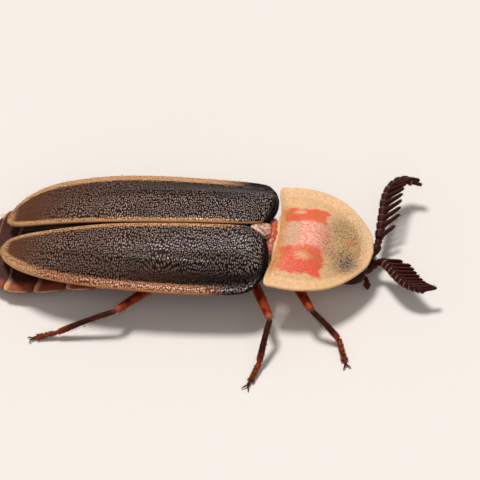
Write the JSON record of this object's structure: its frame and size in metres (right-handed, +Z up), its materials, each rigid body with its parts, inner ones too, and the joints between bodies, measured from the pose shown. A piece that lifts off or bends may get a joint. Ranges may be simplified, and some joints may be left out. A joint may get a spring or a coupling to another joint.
{
  "type": "firefly, life-size still model",
  "caption": "Still, life-size male firefly with closed dark wing cases, a cream and pink shield over the head and comb-like antennae, standing on its feet.",
  "frame": {"origin": "middle of the footprint on the floor", "axes": "+X forward to the head, +Y to the animal's left, +Z up"},
  "size_m": [0.0158, 0.0088, 0.0024],
  "materials": {
    "wing_case": "near-black granular horn-like shell with a tan rim and fine pale hairs",
    "pronotum": "translucent cream shell with two coral-pink patches",
    "scutellum": "pale pink smooth shell",
    "body": "dark brown thorax and abdomen with pale segment edges",
    "lantern": "pale cream light organ",
    "head": "dark brown smooth shell",
    "eye": "black faceted dome",
    "antenna": "dark brown with pale joints and short hairs",
    "leg": "reddish brown and translucent, darker shins",
    "wing_membrane": "folded smoky membrane"
  },
  "bodies": {
    "root": {"pronotum": "pronotum", "scutellum": "scutellum", "thorax": "body", "abdomen": "body", "lantern": "lantern", "head": "head", "elytron_left": "wing_case", "elytron_right": "wing_case", "hindwing_left": "wing_membrane", "hindwing_right": "wing_membrane", "eye_left": "eye", "eye_right": "eye", "palp_left": "head", "palp_right": "head", "antenna_left": "antenna", "antenna_right": "antenna", "leg_front_right": "leg", "leg_mid_right": "leg", "leg_hind_right": "leg", "leg_front_left": "leg", "leg_mid_left": "leg", "leg_hind_left": "leg"}
  },
  "joints": []
}
